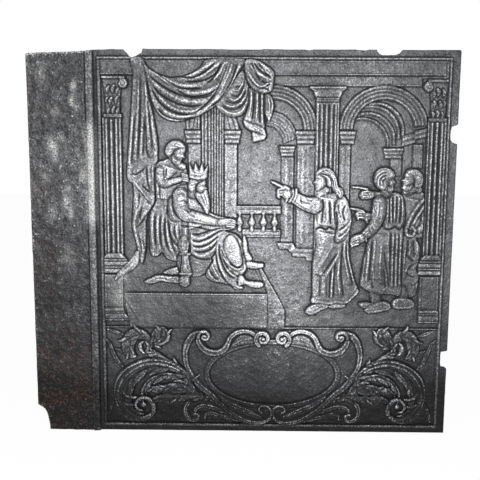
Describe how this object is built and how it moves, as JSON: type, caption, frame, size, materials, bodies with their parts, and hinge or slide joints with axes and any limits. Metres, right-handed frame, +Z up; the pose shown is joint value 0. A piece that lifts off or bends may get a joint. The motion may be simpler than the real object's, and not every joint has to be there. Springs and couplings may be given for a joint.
{
  "type": "cast iron fireback",
  "caption": "Flat upright cast-iron hearth plate with a plain wall strip, moulded frame, figure scene in low relief and a scrollwork frieze.",
  "frame": {"origin": "middle of the plate's bottom edge, on the slab's middle plane", "axes": "+Z up the plate, +X to the right as seen from the front, +Y out of the flat back; the relief faces -Y"},
  "size_m": [0.8, 0.0264, 0.735],
  "materials": {
    "cast_ground": "rough sand-cast ground, blackleaded, grainy",
    "wall_strip_iron": "rough plain casting with pits, rust specks and pale mortar stains",
    "moulding_iron": "blackleaded moulding, rubbed bright along the crest",
    "architecture_iron": "blackleaded relief, rubbed brighter on flutes and fillets",
    "hanging_iron": "blackleaded folds, bright crests and dark hollows",
    "figure_iron": "blackleaded figures, bright crests and dark hollows",
    "frieze_iron": "blackleaded scrollwork, darker towards the foot"
  },
  "bodies": {
    "root": {"plate": "cast_ground", "wall_strip": "wall_strip_iron", "strip_rib": "moulding_iron", "scene_panel": "cast_ground", "frieze_panel": "cast_ground", "frame_left": "moulding_iron", "frame_right": "moulding_iron", "frame_top": "moulding_iron", "frame_foot": "moulding_iron", "divider": "moulding_iron", "entablature": "architecture_iron", "left_capital": "architecture_iron", "left_shaft": "architecture_iron", "left_base": "architecture_iron", "left_pedestal": "architecture_iron", "right_capital": "architecture_iron", "right_shaft": "architecture_iron", "right_base": "architecture_iron", "right_pedestal": "architecture_iron", "middle_pilaster": "architecture_iron", "middle_capital": "architecture_iron", "rear_pilaster": "architecture_iron", "arch_left": "architecture_iron", "arch_right": "architecture_iron", "vault_left": "architecture_iron", "vault_right": "architecture_iron", "imposts": "architecture_iron", "piers": "architecture_iron", "balustrade": "architecture_iron", "dais": "architecture_iron", "step": "architecture_iron", "curtain_fall": "hanging_iron", "curtain_swag": "hanging_iron", "curtain_loop": "hanging_iron", "curtain_knot": "hanging_iron", "attendant": "figure_iron", "seated_figure": "figure_iron", "throne": "figure_iron", "standing_youth": "figure_iron", "near_onlooker": "figure_iron", "far_onlooker": "figure_iron", "tablet": "frieze_iron", "cartouche": "frieze_iron", "acanthus_left": "frieze_iron", "acanthus_right": "frieze_iron"}
  },
  "joints": []
}
